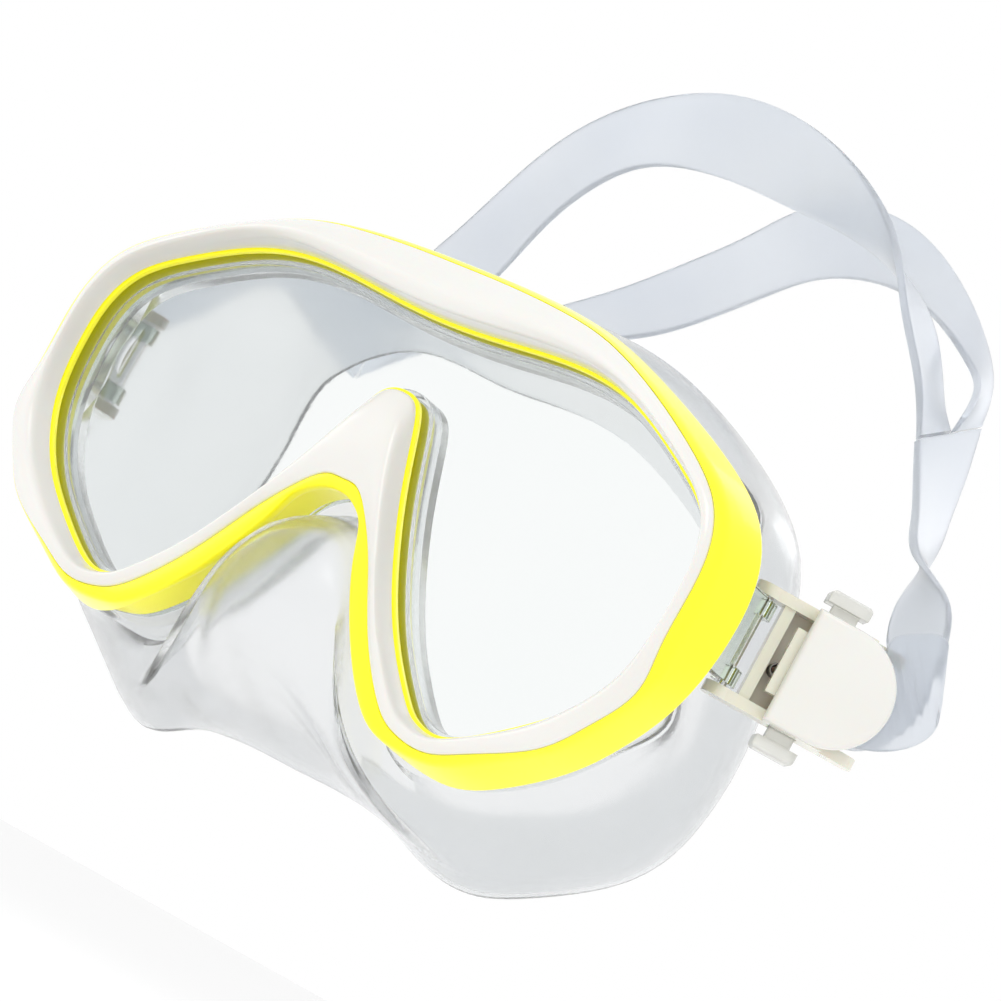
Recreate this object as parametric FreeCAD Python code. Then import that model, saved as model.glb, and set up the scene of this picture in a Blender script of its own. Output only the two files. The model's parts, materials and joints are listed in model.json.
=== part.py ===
"""Single-lens diving mask: two-colour frame, clear skirt with a nose pocket, split strap, swivelling buckles.

Millimetres. +X is the wearer's left, +Y points to the wearer, +Z is up. The origin is on the lens's front
face, on the plane of symmetry, between the nose arch and the brow.

The lens, frame parts and skirt are rings. A ring is a stack of closed outlines, and every outline has the same
44 stations: station 0 is the top centre, 7 to 9 are at the buckle, 14 is the lowest point of the lens, 16 to 21
climb the side of the nose notch, and 22 is the top of the nose arch. Stations 23 to 43 mirror 21 to 1.
"""
import FreeCAD, Part
import math
import os

Vector = FreeCAD.Vector

# ---------------------------------------------------------------- driving dimensions
LENS_THICKNESS = 3.2
LENS_HOLD = 2.6            # how far the glass reaches under the bezel
FIT_GAP = 0.15             # between parts that are clamped together
RETAINER_FRONT = -1.4      # front of the ring that holds the glass
SEAT_DEPTH = 4.45          # front of the frame's seat behind the skirt's lip
SEAT_BACK = 6.2            # rear of the colour frame
INNER_FRAME_BACK = 8.3     # rear of the clear inner frame
COLLAR_FRONT = 8.5         # front of the skirt's collar behind the frame
SKIRT_WALL = 2.0
SEAL_WALL = 0.9            # the feather edge against the face
PIN_X = 77.6               # hinge pin of the wearer's left buckle
PIN_Y = 20.2
PIN_Z = -21.7
PIN_RADIUS = 1.0
PIN_LENGTH = 22.8
RUNNING_GAP = 0.05         # radial, of pins and rollers
BUCKLE_REST_ANGLE = 35.0   # from +X towards +Y, as it hangs with no head in the strap
STRAP_THICKNESS = 1.7
STRAP_HALF_WIDTH = 8.2     # at the buckle
BUTTON_TRAVEL = 2.0
STATIONS = 22              # of the half outline

# ---------------------------------------------------------------- outlines of the frame, (station, x, z)
SIGHT_EDGE = [(0, 0, 7.5), (1, 12, 8.0), (2, 24, 9.0), (3, 36, 9.0), (4, 48, 6.2), (5, 60, 0.2), (6, 69.5, -6.5),
              (7, 73.8, -14.4), (8, 74.6, -23), (9, 73.6, -33), (10, 70.3, -42), (11, 64.9, -49.7),
              (12, 58, -55.8), (13, 50, -61.3), (14, 43.5, -64), (15, 38, -63.2), (16, 33.4, -60),
              (17, 25.2, -51.2), (18, 17.4, -39.4), (19, 10.7, -25.6), (20, 6.2, -13.8), (21, 3.4, -9.2),
              (22, 0, -8.3)]
FRAME_RIM = [(0, 0, 20.8), (1, 13, 20.6), (2, 26, 19.4), (3, 38, 16.6), (4, 52, 11.3), (5, 65, 5.3), (6, 76, -2),
             (7, 82, -11.5), (8, 83.4, -22), (9, 82.3, -32.5), (10, 79.3, -42), (11, 74, -51), (12, 67, -59),
             (13, 57, -66.3), (14, 46.5, -70.4), (15, 37, -69.8), (16, 29, -66.3), (17, 19, -55.3),
             (18, 11.5, -43), (19, 8.6, -35.8), (20, 5.6, -32.7), (21, 2.9, -31.4), (22, 0, -31)]

# profiles along the outline, (station, value)
BEZEL_SHARE = [(0, 0.75), (3, 0.72), (5, 0.50), (7, 0.33), (8, 0.30), (9, 0.42), (10, 0.78), (12, 0.78),
               (13, 0.55), (15, 0.56), (17, 0.46), (18, 0.46), (19, 0.78), (20, 0.86), (22, 0.89)]
LIP_Y = [(0, -9.2), (3, -8.2), (5, -3.6), (6, -2.2), (20, -2.2), (22, -2.4)]
CREST_Y = [(0, -10.6), (3, -9.9), (5, -7.6), (6, -6.8), (14, -6.4), (18, -6.6), (22, -5.2)]
BROW_Y = [(0, -8.6), (3, -8.2), (5, -7.0), (6, -6.5), (14, -6.2), (22, -6.4)]
SHOULDER_SHARE = [(0, 0.35), (13, 0.35), (16, 1.0), (22, 1.0)]   # of the way from the bezel to the rim
SHOULDER_Y = [(0, -3.6), (13, -3.6), (16, -5.6), (22, -5.6)]
RIM_REAR_Y = [(0, 5.6), (14, 5.6), (16, -2.8), (22, -2.8)]
COLLAR_OUT = [(0, -0.8), (6, -0.8), (7, -8.2), (9, -8.2), (10, -0.8), (14, -0.8), (16, 0.6), (22, 0.6)]
COLLAR_CORNER = [(0, -1.6), (14, -1.6), (16, 2.0), (22, 2.0)]

# ---------------------------------------------------------------- outlines of the skirt, (station, x, y, z)
SKIRT_MIDDLE = [(0, 0, 19, 22), (3, 38, 20, 20), (5, 63, 22, 8), (6.3, 72, 22, -3), (8, 70.5, 20, -22),
                (9.7, 75, 24, -40), (11, 73.5, 26, -53), (13, 62, 26, -70), (14, 51, 25, -76),
                (15, 42, 22, -79), (16, 34, 16, -79), (17, 27, 8, -75), (18, 21, 0, -66), (19, 16, -5, -54),
                (20, 11, -7, -46), (21, 6, -8, -42.5), (22, 0, -8.5, -41.5)]
SKIRT_REAR = [(0, 0, 28, 21.5), (3, 38.5, 30, 19), (5, 62, 36, 8), (7, 72, 40, -9), (8, 72.5, 41, -22),
              (9, 74, 42, -34), (11, 73.5, 42, -54), (13, 64, 38, -72), (14, 53, 34, -79), (15, 43, 30, -83),
              (16, 33.5, 25, -82), (17, 26, 19, -79), (18, 20, 11, -76), (19, 15.5, 4, -71.5),
              (20, 11, -3, -67), (21, 6, -7, -64.5), (22, 0, -8.5, -64)]
SKIRT_FOLD = [(0, 0, 33, 17), (3, 36, 36, 16), (5, 57, 44, 6), (7, 66, 52, -9), (8, 68, 55, -22), (9, 69, 56, -34),
              (11, 69, 53, -53), (13, 62, 46, -70), (14, 52, 41, -78.5), (15, 42, 37, -83.5), (16, 33, 33, -83),
              (17, 26, 31, -80.5), (18, 20, 29.5, -79.5), (20, 10, 28, -79), (22, 0, 27.5, -79)]
SKIRT_SEAL = [(0, 0, 31, 6), (3, 28, 35, 6), (5, 46, 43, -2), (7, 54, 50, -13), (8, 56, 53, -23), (9, 57, 53, -34),
              (11, 56, 49, -50), (13, 49, 42, -62), (14, 41, 37.5, -67), (15, 33, 33, -70), (16, 27, 29, -71),
              (17, 22, 27, -71.5), (18, 17, 26, -71.5), (20, 8, 25, -71), (22, 0, 24.5, -71)]
STEPS_PER_SPAN = 2

# ---------------------------------------------------------------- strap routes, rungs of (centre), (half width)
UPPER_BAND = [((71.8, 58.6, 36), (0, -5.3, -2.9)), ((64.1, 65, 44), (1, -7.4, -1.5)),
              ((45.6, 73, 63.6), (2.2, -7.9, -2.3)), ((30.7, 73, 74.2), (5.1, -6, 1.3)),
              ((15.8, 69.5, 79.2), (3.2, -3.4, 6.5)), ((-3.3, 67, 81.3), (-0.8, -2, 8.6)),
              ((-15.4, 67, 79.7), (-3.1, -0.4, 8)), ((-32.7, 70, 72.9), (-6.2, 1.7, 5.9)),
              ((-48.5, 76, 58.3), (-7.4, 1.7, 4.2)), ((-58.6, 81.5, 43), (-8, 0.5, 2.6)),
              ((-68.5, 85.5, 29), (-4.5, 0, 6)), ((-73.7, 87.5, 24.5), (0, 0, 5.6))]
LOWER_BAND = [((72.1, 68.9, 41.8), (0, 4.7, 2.6)), ((67.9, 76, 51.6), (-2.3, 6.6, 2.9)),
              ((58.6, 85, 60.7), (-2.9, 6.5, 4.2)), ((35.3, 98, 75.3), (-2.8, 4.9, 6.8)),
              ((11.6, 109, 81.9), (-3, 0.8, 8.1)), ((-8.6, 116, 78), (-4.7, -0.5, 7.1)),
              ((-17.9, 118, 70.4), (-6.3, 1, 5.7)), ((-26.6, 117, 61.1), (-7.1, 0.9, 4.5)),
              ((-34.5, 113, 51.1), (-7.6, 1.2, 3.6)), ((-50, 106, 37), (-7.8, 0, 0)),
              ((-66, 97, 22), (-5.5, -0.5, -4)), ((-74.6, 87.5, 12.1), (0, 0, -5.7))]
NECK = [((94.3, 43.2, 2.1), (-6.6, 4.8, -1.2)), ((88.4, 46.5, 10.7), (-2.6, 8.1, 1.8))]
LEFT_ARM = NECK + [((83.8, 51, 18.4), (-1.2, 8.8, 2.6)), ((78.3, 57, 28), (-0.3, 9.5, 3.9)),
                   ((72.3, 63, 38.2), (0, 10.6, 5.8))]
RIGHT_ARM = [((-x, y, z), (-a, b, c)) for (x, y, z), (a, b, c) in NECK] + [
    ((-85, 57, 17.5), (1.5, 7.8, -3.5)), ((-81, 72, 19.5), (0.5, 3, -9.5)), ((-75, 87, 18), (0, 0, -11.9))]
ARM_START_Z = 10.9         # the strap below this height turns with the buckle
JOIN_GAP = 0.4


def profile(knots):
    """Values at stations 0 to 22, eased between the knots."""
    values = []
    for station in range(STATIONS + 1):
        after = next(i for i in range(len(knots)) if knots[i][0] >= station)
        if after == 0:
            values.append(knots[0][1])
            continue
        (s0, v0), (s1, v1) = knots[after - 1], knots[after]
        share = (station - s0) / (s1 - s0)
        values.append(v0 + (v1 - v0) * share * share * (3 - 2 * share))
    return values


def full(half):
    """A half profile carried round all 44 stations."""
    return half + half[-2:0:-1]


def closed_curve(points, parameters):
    curve = Part.BSplineCurve()
    curve.interpolate(Points=points, PeriodicFlag=True, Parameters=parameters)
    return curve


def outline(knots):
    """The 44 points of a closed symmetric outline through (station, x, y, z) or (station, x, z) knots."""
    rows = [k if len(k) == 4 else (k[0], k[1], 0.0, k[2]) for k in knots]
    points = [Vector(x, y, z) for _, x, y, z in rows]
    stations = [float(k[0]) for k in rows]
    points += [Vector(-p.x, p.y, p.z) for p in points[-2:0:-1]]
    stations += [2.0 * STATIONS - s for s in stations[-2:0:-1]]
    curve = closed_curve(points, stations + [2.0 * STATIONS])
    return [curve.value(float(s)) for s in range(2 * STATIONS)]


def outward(points):
    """Unit normals in the XZ plane, away from the inside of the outline."""
    count = len(points)
    normals = []
    for i in range(count):
        tangent = points[(i + 1) % count] - points[i - 1]
        normals.append(Vector(-tangent.z, 0, tangent.x).normalize())
    return normals


SIGHT = outline(SIGHT_EDGE)
RIM = outline(FRAME_RIM)
SIGHT_OUT = outward(SIGHT)
RIM_OUT = outward(RIM)
SHARE = full(profile(BEZEL_SHARE))


def at_height(points, y):
    """The same outline moved to depth y, one number or one per station."""
    depths = y if isinstance(y, list) else [y] * len(points)
    return [Vector(p.x, depth, p.z) for p, depth in zip(points, depths)]


def from_sight(distance, y):
    """The sight edge moved outwards by a distance."""
    return at_height([p + n * distance for p, n in zip(SIGHT, SIGHT_OUT)], y)


def from_rim(distance, y):
    """The frame's rim moved outwards by a distance, one number or one per station."""
    steps = distance if isinstance(distance, list) else [distance] * len(RIM)
    return at_height([p + n * step for p, n, step in zip(RIM, RIM_OUT, steps)], y)


def between(shares, y):
    """Points part of the way from the sight edge to the rim."""
    return at_height([a + (b - a) * s for a, b, s in zip(SIGHT, RIM, shares)], y)


def loop_edge(points):
    return closed_curve(points, [float(i) for i in range(len(points) + 1)]).toShape()


def solid_of(faces):
    shell = Part.Shell(faces)
    shell.sewShape()
    solid = Part.Solid(shell)
    if solid.Volume < 0:
        solid.reverse()
    return solid


def ring(loops):
    """A closed ring whose section is the polygon through the loops."""
    edges = [loop_edge(points) for points in loops]
    return solid_of([Part.makeRuledSurface(edges[i - 1], edges[i], 1) for i in range(len(edges))])


def plate(points, depth):
    """A flat plate: the outline's inside, thickened along +Y."""
    return Part.Face(Part.Wire([loop_edge(points)])).extrude(Vector(0, depth, 0))


# ---------------------------------------------------------------- lens and frame
def lens():
    return plate(from_sight(LENS_HOLD, 0.0), LENS_THICKNESS)


def lens_retaining_ring():
    """A flat ring in front of the glass; its inner edge shows inside the bezel."""
    inner, outer = -0.6, LENS_HOLD + 1.0
    return ring([from_sight(inner, RETAINER_FRONT), from_sight(outer, RETAINER_FRONT),
                 from_sight(outer, -0.1), from_sight(inner, -0.1)])


def front_bezel():
    """The white front: a hump round the glass that swells into a brow at the top."""
    seat = RETAINER_FRONT - FIT_GAP
    crest = full(profile(CREST_Y))
    return ring([from_sight(0.0, seat),
                 from_sight(0.15, full(profile(LIP_Y))),
                 between([0.30 * s for s in SHARE], crest),
                 between([0.70 * s for s in SHARE], full(profile(BROW_Y))),
                 between(SHARE, -5.6),
                 between(SHARE, -4.1),
                 between([0.60 * s for s in SHARE], [min(y + 2.0, -3.6) for y in crest]),
                 from_sight(1.5, seat)])


def color_frame():
    """The coloured frame: flared outer wall, seat behind the skirt's lip."""
    widths = [(b - a).Length for a, b in zip(SIGHT, RIM)]
    start = [s + FIT_GAP / w for s, w in zip(SHARE, widths)]
    shoulder = [s + (1 - s) * k for s, k in zip(start, full(profile(SHOULDER_SHARE)))]
    rear = full(profile(RIM_REAR_Y))
    return ring([between(start, -5.3),
                 between(shoulder, full(profile(SHOULDER_Y))),
                 from_rim(0.0, rear),
                 from_rim(-1.5, [y + 0.4 for y in rear]),
                 from_rim(-1.6, SEAT_BACK),
                 from_sight(-0.4, SEAT_BACK),
                 from_sight(-0.4, SEAT_DEPTH),
                 from_sight(3.9, SEAT_DEPTH),
                 from_sight(3.9, RETAINER_FRONT),
                 between(start, -3.7)])


def inner_frame():
    """The clear ring that carries the buckle lugs."""
    front = SEAT_BACK + FIT_GAP
    body = ring([from_sight(0.3, front), from_rim(-1.9, front),
                 from_rim(-1.9, INNER_FRAME_BACK), from_sight(0.3, INNER_FRAME_BACK)])
    for side in (1, -1):
        body = body.fuse(buckle_lug(side))
    return body.removeSplitter()


LUG_HALF = 8.6             # half height of the lug along the pin
LUG_WINDOW = 5.2           # half height of its window, where the pin shows
LUG_RADIUS = 2.4


def buckle_lug(side):
    """A plate back from the frame, with two knuckles on the hinge pin."""
    knuckle = LUG_HALF - LUG_WINDOW
    plate_box = Part.makeBox(2.6, PIN_Y - INNER_FRAME_BACK + 1.8, 2 * LUG_HALF,
                             Vector(PIN_X - 0.2, INNER_FRAME_BACK - 1.8, PIN_Z - LUG_HALF))
    lug = plate_box
    for low in (PIN_Z - LUG_HALF, PIN_Z + LUG_WINDOW):
        lug = lug.fuse(Part.makeCylinder(LUG_RADIUS, knuckle, Vector(PIN_X, PIN_Y, low)))
    window = Part.makeBox(6, 7, 2 * LUG_WINDOW, Vector(PIN_X - 3, PIN_Y - 3.4, PIN_Z - LUG_WINDOW))
    bore = Part.makeCylinder(PIN_RADIUS + RUNNING_GAP, 40, Vector(PIN_X, PIN_Y, PIN_Z - 20))
    lug = lug.cut(window).cut(bore)
    return lug if side > 0 else lug.mirror(Vector(), Vector(1, 0, 0))


# ---------------------------------------------------------------- skirt
def eased_loops(stages):
    """Loops between the stages, each station following a smooth curve through them."""
    loops = []
    last = len(stages) - 1
    for k in range(last):
        for step in range(STEPS_PER_SPAN):
            t = step / STEPS_PER_SPAN
            loop = []
            for i in range(len(stages[0])):
                p1, p2 = stages[k][i], stages[k + 1][i]
                slope1 = (p2 - stages[max(k - 1, 0)][i]) * (0.5 if k else 1.0)
                slope2 = (stages[min(k + 2, last)][i] - p1) * (0.5 if k + 2 <= last else 1.0)
                loop.append(p1 * (2 * t**3 - 3 * t**2 + 1) + slope1 * (t**3 - 2 * t**2 + t)
                            + p2 * (3 * t**2 - 2 * t**3) + slope2 * (t**3 - t**2))
            loops.append(loop)
    return loops + [stages[-1]]


def surface_normal(loops, row, i):
    count = len(loops[row])
    along = loops[row][(i + 1) % count] - loops[row][i - 1]
    across = loops[min(row + 1, len(loops) - 1)][i] - loops[max(row - 1, 0)][i]
    return across.cross(along).normalize()


def silicone_skirt():
    """Lip round the glass, neck through the frame, collar behind it, then the wall, fold and feather edge."""
    collar = full(profile(COLLAR_OUT))
    corner = [a + b for a, b in zip(collar, full(profile(COLLAR_CORNER)))]
    outer = eased_loops([from_rim(collar, COLLAR_FRONT), outline(SKIRT_MIDDLE), outline(SKIRT_REAR),
                         outline(SKIRT_FOLD), outline(SKIRT_SEAL)])
    inner = []
    for row in range(1, len(outer)):
        share = row / (len(outer) - 1)
        wall = SKIRT_WALL + (SEAL_WALL - SKIRT_WALL) * share**2
        inner.append([p + surface_normal(outer, row, i) * wall for i, p in enumerate(outer[row])])
    lip_out = LENS_HOLD + 1.05
    lip_back = SEAT_DEPTH - FIT_GAP
    glass_back = LENS_THICKNESS + FIT_GAP
    return ring([from_sight(LENS_HOLD + FIT_GAP, 0.1), from_sight(LENS_HOLD + FIT_GAP, glass_back),
                 from_sight(-1.8, glass_back), from_sight(-1.8, COLLAR_FRONT + 2.1),
                 from_rim(corner, COLLAR_FRONT + 2.1)] + inner + outer[::-1]
                + [from_sight(-0.7, COLLAR_FRONT), from_sight(-0.7, lip_back),
                   from_sight(lip_out, lip_back), from_sight(lip_out, 0.1)])


# ---------------------------------------------------------------- buckle, in its own axes
# u runs from the hinge pin to the far end, v points away from the head, w is up along the pin.
RAIL_IN, RAIL_OUT = 9.2, 11.4
RAIL_LOW, RAIL_HIGH = -2.8, 2.4
RAIL_END = 25.5
ROLLER_U, ROLLER_V = 22.5, -0.4
ROLLER_RADIUS = 1.9
ROLLER_HALF = 8.6
AXLE_RADIUS = 0.9
COVER_START, COVER_LOW, COVER_HIGH = 8.8, 5.4, 6.9
COVER_ROUND_U = 17.6
BUTTON_U = 13.8
PAWL_U, PAWL_V = 10.8, 3.5
PAWL_PIN_RADIUS = 0.7
DIVIDER_HALF = 0.5
SPRING_V = 0.4


def block(u0, u1, v0, v1, w0, w1):
    """A box in the buckle's axes; -v is the frame's local +Y."""
    return Part.makeBox(u1 - u0, v1 - v0, w1 - w0, Vector(u0, -v1, w0))


def post(u, v, radius, w0, w1):
    """A cylinder along the pin's direction."""
    return Part.makeCylinder(radius, w1 - w0, Vector(u, -v, w0))


def joined(shapes):
    whole = shapes[0]
    for shape in shapes[1:]:
        whole = whole.fuse(shape)
    return whole.removeSplitter()


def prism(corners, w0, w1):
    """A polygon in the u, v plane, thickened along w."""
    points = [Vector(u, -v, w0) for u, v in corners]
    return Part.Face(Part.makePolygon(points + points[:1])).extrude(Vector(0, 0, w1 - w0))


def buckle_yoke():
    """Two rails on the hinge pin, a crossbar, a floor, and the divider between the button springs."""
    parts = []
    for sign in (1, -1):
        low, high = sorted((sign * RAIL_IN, sign * RAIL_OUT))
        parts.append(block(0, RAIL_END, RAIL_LOW, RAIL_HIGH, low, high))
        parts.append(post(0, 0, 2.9, low, high))
        parts.append(post(RAIL_END, -0.2, 2.6, low, high))
        parts.append(block(COVER_START + 0.4, 21, RAIL_HIGH, COVER_LOW - FIT_GAP, low, high))
    parts.append(block(3.4, 5.6, -2.2, 1.8, -RAIL_OUT, RAIL_OUT))
    parts.append(block(5.0, 18.0, RAIL_LOW, -1.6, -RAIL_OUT, RAIL_OUT))
    parts.append(block(11.6, 16.0, -1.8, 1.8, -DIVIDER_HALF, DIVIDER_HALF))
    yoke = joined(parts)
    yoke = yoke.cut(post(0, 0, PIN_RADIUS + RUNNING_GAP, -20, 20))
    yoke = yoke.cut(post(ROLLER_U, ROLLER_V, AXLE_RADIUS + 0.02, -20, 20))
    yoke = yoke.cut(post(PAWL_U, PAWL_V, PAWL_PIN_RADIUS + 0.02, -20, 20))
    for sign in (1, -1):
        low, high = sorted((sign * (RAIL_IN - 1), sign * (RAIL_OUT + 1)))
        yoke = yoke.cut(block(BUTTON_U - 2.9, BUTTON_U + 2.9, -1.2, 2.0, low, high))
    return yoke


def buckle_cover():
    """The white D-shaped cap over the latch."""
    arc_middle = Vector(COVER_ROUND_U + RAIL_OUT, -COVER_LOW, 0)
    start = Vector(COVER_ROUND_U, -COVER_LOW, RAIL_OUT)
    end = Vector(COVER_ROUND_U, -COVER_LOW, -RAIL_OUT)
    front_low = Vector(COVER_START, -COVER_LOW, -RAIL_OUT)
    front_high = Vector(COVER_START, -COVER_LOW, RAIL_OUT)
    edges = [Part.Arc(start, arc_middle, end).toShape(), Part.makeLine(end, front_low),
             Part.makeLine(front_low, front_high), Part.makeLine(front_high, start)]
    cap = Part.Face(Part.Wire(edges)).extrude(Vector(0, COVER_LOW - COVER_HIGH, 0))
    rounded = [e for e in cap.Edges if abs(e.BoundBox.YMin + COVER_HIGH) < 1e-6 and e.BoundBox.YLength < 1e-6]
    return cap.makeFillet(1.1, rounded)


def squeeze_button(sign):
    """A pad outside the rail, its stem, and the flange that stops it from falling out."""
    pad_in = RAIL_OUT + 0.3 + BUTTON_TRAVEL
    pad = block(BUTTON_U - 4.2, BUTTON_U + 4.2, -2.4, 3.0, pad_in, pad_in + 2.6)
    pad = pad.makeFillet(1.0, [e for e in pad.Edges if e.BoundBox.ZMin > pad_in + 2.5])
    stem = block(BUTTON_U - 2.6, BUTTON_U + 2.6, -0.9, 1.7, RAIL_IN - 1.2, pad_in + 0.2)
    flange = block(BUTTON_U - 3.4, BUTTON_U + 3.4, -1.2, 2.0, RAIL_IN - 1.5, RAIL_IN - 0.3)
    button = joined([pad, stem, flange])
    return button if sign > 0 else button.mirror(Vector(), Vector(0, 0, 1))


def coil(radius, wire, turns, low, high, u, v):
    """A round-wire compression spring along w."""
    length = high - low - wire
    helix = Part.makeHelix(length / turns, length, radius)
    helix.translate(Vector(u, -v, low + wire / 2))
    start = helix.Vertexes[0].Point
    section = Part.Wire([Part.makeCircle(wire / 2, start, Vector(0, 1, 0.1))])
    return Part.Wire(helix).makePipeShell([section], True, True)


def button_spring(sign):
    spring = coil(1.25, 0.6, 5, DIVIDER_HALF + 0.1, RAIL_IN - 1.6, BUTTON_U, SPRING_V)
    return spring if sign > 0 else spring.mirror(Vector(), Vector(0, 0, 1))


def latch_pawl():
    """The lever under the cover: its tooth holds the strap on the roller."""
    arm = prism([(7.0, 3.0), (7.0, 4.6), (11, 4.9), (22.8, 4.6), (23.2, 4.05), (21.6, 4.05), (20.6, 4.1),
                 (11, 2.6), (9.6, 2.7)], -6.5, 6.5)
    return arm.cut(post(PAWL_U, PAWL_V, PAWL_PIN_RADIUS + RUNNING_GAP, -20, 20))


def latch_spring():
    """The dark coil that shows in the recess, standing on the floor under the pawl's tail."""
    spring = coil(1.1, 0.6, 4, 0, 4.1, 0, 0)
    spring.rotate(Vector(), Vector(1, 0, 0), 90)
    spring.translate(Vector(7.4, 1.55, -2.0))
    return spring


# the strap in the buckle's axes, rungs of (u, v, w) and (half width)
STRAP_TURN = ROLLER_RADIUS + 0.45 + STRAP_THICKNESS / 2
TAIL = [((34.6, 3.6, 12), (-2.8, 0, 7.2)), ((32, 3.6, 8.8), (-5.6, 0, 7.2)), ((29, 3.6, 5), (-6, 0, 7.8)),
        ((26.2, 3.6, 1.0), (-2.6, 0, 7.8))]
LEG = [((26.7, -3.9, 1.2), (-1.4, -0.6, 8.2)), ((29.5, -4.6, 7.2), (-4.3, -4.3, 5.6)),
       ((28.9, -5.8, 15.2), (-4.3, -6.6, 0.5)), ((26.9, -9.3, 23.8), (-2.7, -7.7, -1.2)),
       ((23.9, -15.4, 32.4), (2.5, -8.1, 1.8)), ((22.8, -21.7, 40.1), (4, -7.9, 2.6))]


def strap_end():
    """The strap's end: the free tail, the turn round the roller, and the leg that goes back to the arm."""
    turn = []
    for degrees in range(0, 181, 30):
        angle = math.radians(degrees)
        turn.append(((ROLLER_U - STRAP_TURN * math.sin(angle), ROLLER_V + STRAP_TURN * math.cos(angle), 0),
                     (0, 0, STRAP_HALF_WIDTH)))
    route = [((u, -v, w), (a, -b, c)) for (u, v, w), (a, b, c) in TAIL + turn + LEG]
    top = ARM_START_Z - JOIN_GAP - PIN_Z
    return ribbon(route).cut(Part.makeBox(200, 200, 100, Vector(-100, -100, top)))


def place(shape, side):
    """From the buckle's axes to the mask: turned to its rest angle, on the left pin or mirrored to the right."""
    placed = shape.copy()
    placed.rotate(Vector(), Vector(0, 0, 1), BUCKLE_REST_ANGLE)
    placed.translate(Vector(PIN_X, PIN_Y, PIN_Z))
    return placed if side > 0 else placed.mirror(Vector(), Vector(1, 0, 0))


def buckle_nodes(side):
    return {
        "hinge_pin": post(0, 0, PIN_RADIUS, -PIN_LENGTH / 2, PIN_LENGTH / 2),
        "buckle_yoke": buckle_yoke(),
        "buckle_cover": buckle_cover(),
        "roller_axle": post(ROLLER_U, ROLLER_V, AXLE_RADIUS, -RAIL_OUT, RAIL_OUT),
        "strap_roller": post(ROLLER_U, ROLLER_V, ROLLER_RADIUS, -ROLLER_HALF, ROLLER_HALF).cut(
            post(ROLLER_U, ROLLER_V, AXLE_RADIUS + RUNNING_GAP, -20, 20)),
        "upper_button": squeeze_button(1),
        "lower_button": squeeze_button(-1),
        "upper_button_spring": button_spring(1),
        "lower_button_spring": button_spring(-1),
        "latch_pawl": latch_pawl(),
        "pawl_pin": post(PAWL_U, PAWL_V, PAWL_PIN_RADIUS, -RAIL_OUT, RAIL_OUT),
        "latch_spring": latch_spring(),
        "strap_end": strap_end(),
    }


# ---------------------------------------------------------------- strap
def open_curve(points, parameters):
    curve = Part.BSplineCurve()
    curve.interpolate(Points=points, Parameters=parameters)
    return curve


def ribbon(route):
    """A flat band of silicone along a route of rungs."""
    rows = [(Vector(*c), Vector(*w)) for c, w in route]
    last = len(rows) - 1
    corners = [[], [], [], []]
    travel = [0.0]
    for i, (centre, half) in enumerate(rows):
        before, after = rows[max(i - 1, 0)][0], rows[min(i + 1, last)][0]
        if i:
            travel.append(travel[-1] + (centre - before).Length)
        thick = (after - before).cross(half).normalize() * (STRAP_THICKNESS / 2)
        for k, (a, b) in enumerate(((1, 1), (1, -1), (-1, -1), (-1, 1))):
            corners[k].append(centre + half * a + thick * b)
    edges = [open_curve(points, travel).toShape() for points in corners]
    faces = [Part.makeRuledSurface(edges[k - 1], edges[k], 1) for k in range(4)]
    for end in (0, -1):
        ends = [corner[end] for corner in corners]
        for tri in (ends[:3], [ends[0], ends[2], ends[3]]):
            faces.append(Part.Face(Part.makePolygon(tri + tri[:1])))
    return solid_of(faces)


def strap_arm(route):
    below = Part.makeBox(400, 400, 200, Vector(-200, -100, ARM_START_Z - 200))
    return ribbon(route).cut(below)


def main():
    nodes = {
        "lens": lens(),
        "lens_retaining_ring": lens_retaining_ring(),
        "front_bezel": front_bezel(),
        "color_frame": color_frame(),
        "inner_frame": inner_frame(),
        "silicone_skirt": silicone_skirt(),
        "strap_upper_band": ribbon(UPPER_BAND),
        "strap_lower_band": ribbon(LOWER_BAND),
        "left_strap_arm": strap_arm(LEFT_ARM),
        "right_strap_arm": strap_arm(RIGHT_ARM),
    }
    for side, name in ((1, "left"), (-1, "right")):
        for part, shape in buckle_nodes(side).items():
            nodes[name + "_" + part] = place(shape, side)
    os.makedirs("parts", exist_ok=True)
    for node, shape in nodes.items():
        box = shape.BoundBox
        print("%-26s valid %s volume %9.1f solids %d  x %6.1f %6.1f  y %6.1f %6.1f  z %6.1f %6.1f" % (
            node, shape.isValid(), shape.Volume, len(shape.Solids),
            box.XMin, box.XMax, box.YMin, box.YMax, box.ZMin, box.ZMax))
        shape.exportStep("parts/" + node + ".step")


main()
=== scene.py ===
"""Looks of the diving mask: moulded shells, clear silicone, strap, buckles, materials, light and camera.

Lengths are millimetres until a mesh is made, and metres in the meshes. +X is the wearer's left, +Y points to the
wearer and +Z is up. Closed outlines have 44 stations, as in the part: 0 is the top centre, 7 to 9 are at the
buckle, 14 is the lowest point of the lens and 22 is the top of the nose arch.
"""
import json

import bmesh
import bpy
import numpy as np
from mathutils import Matrix, Vector

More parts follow.
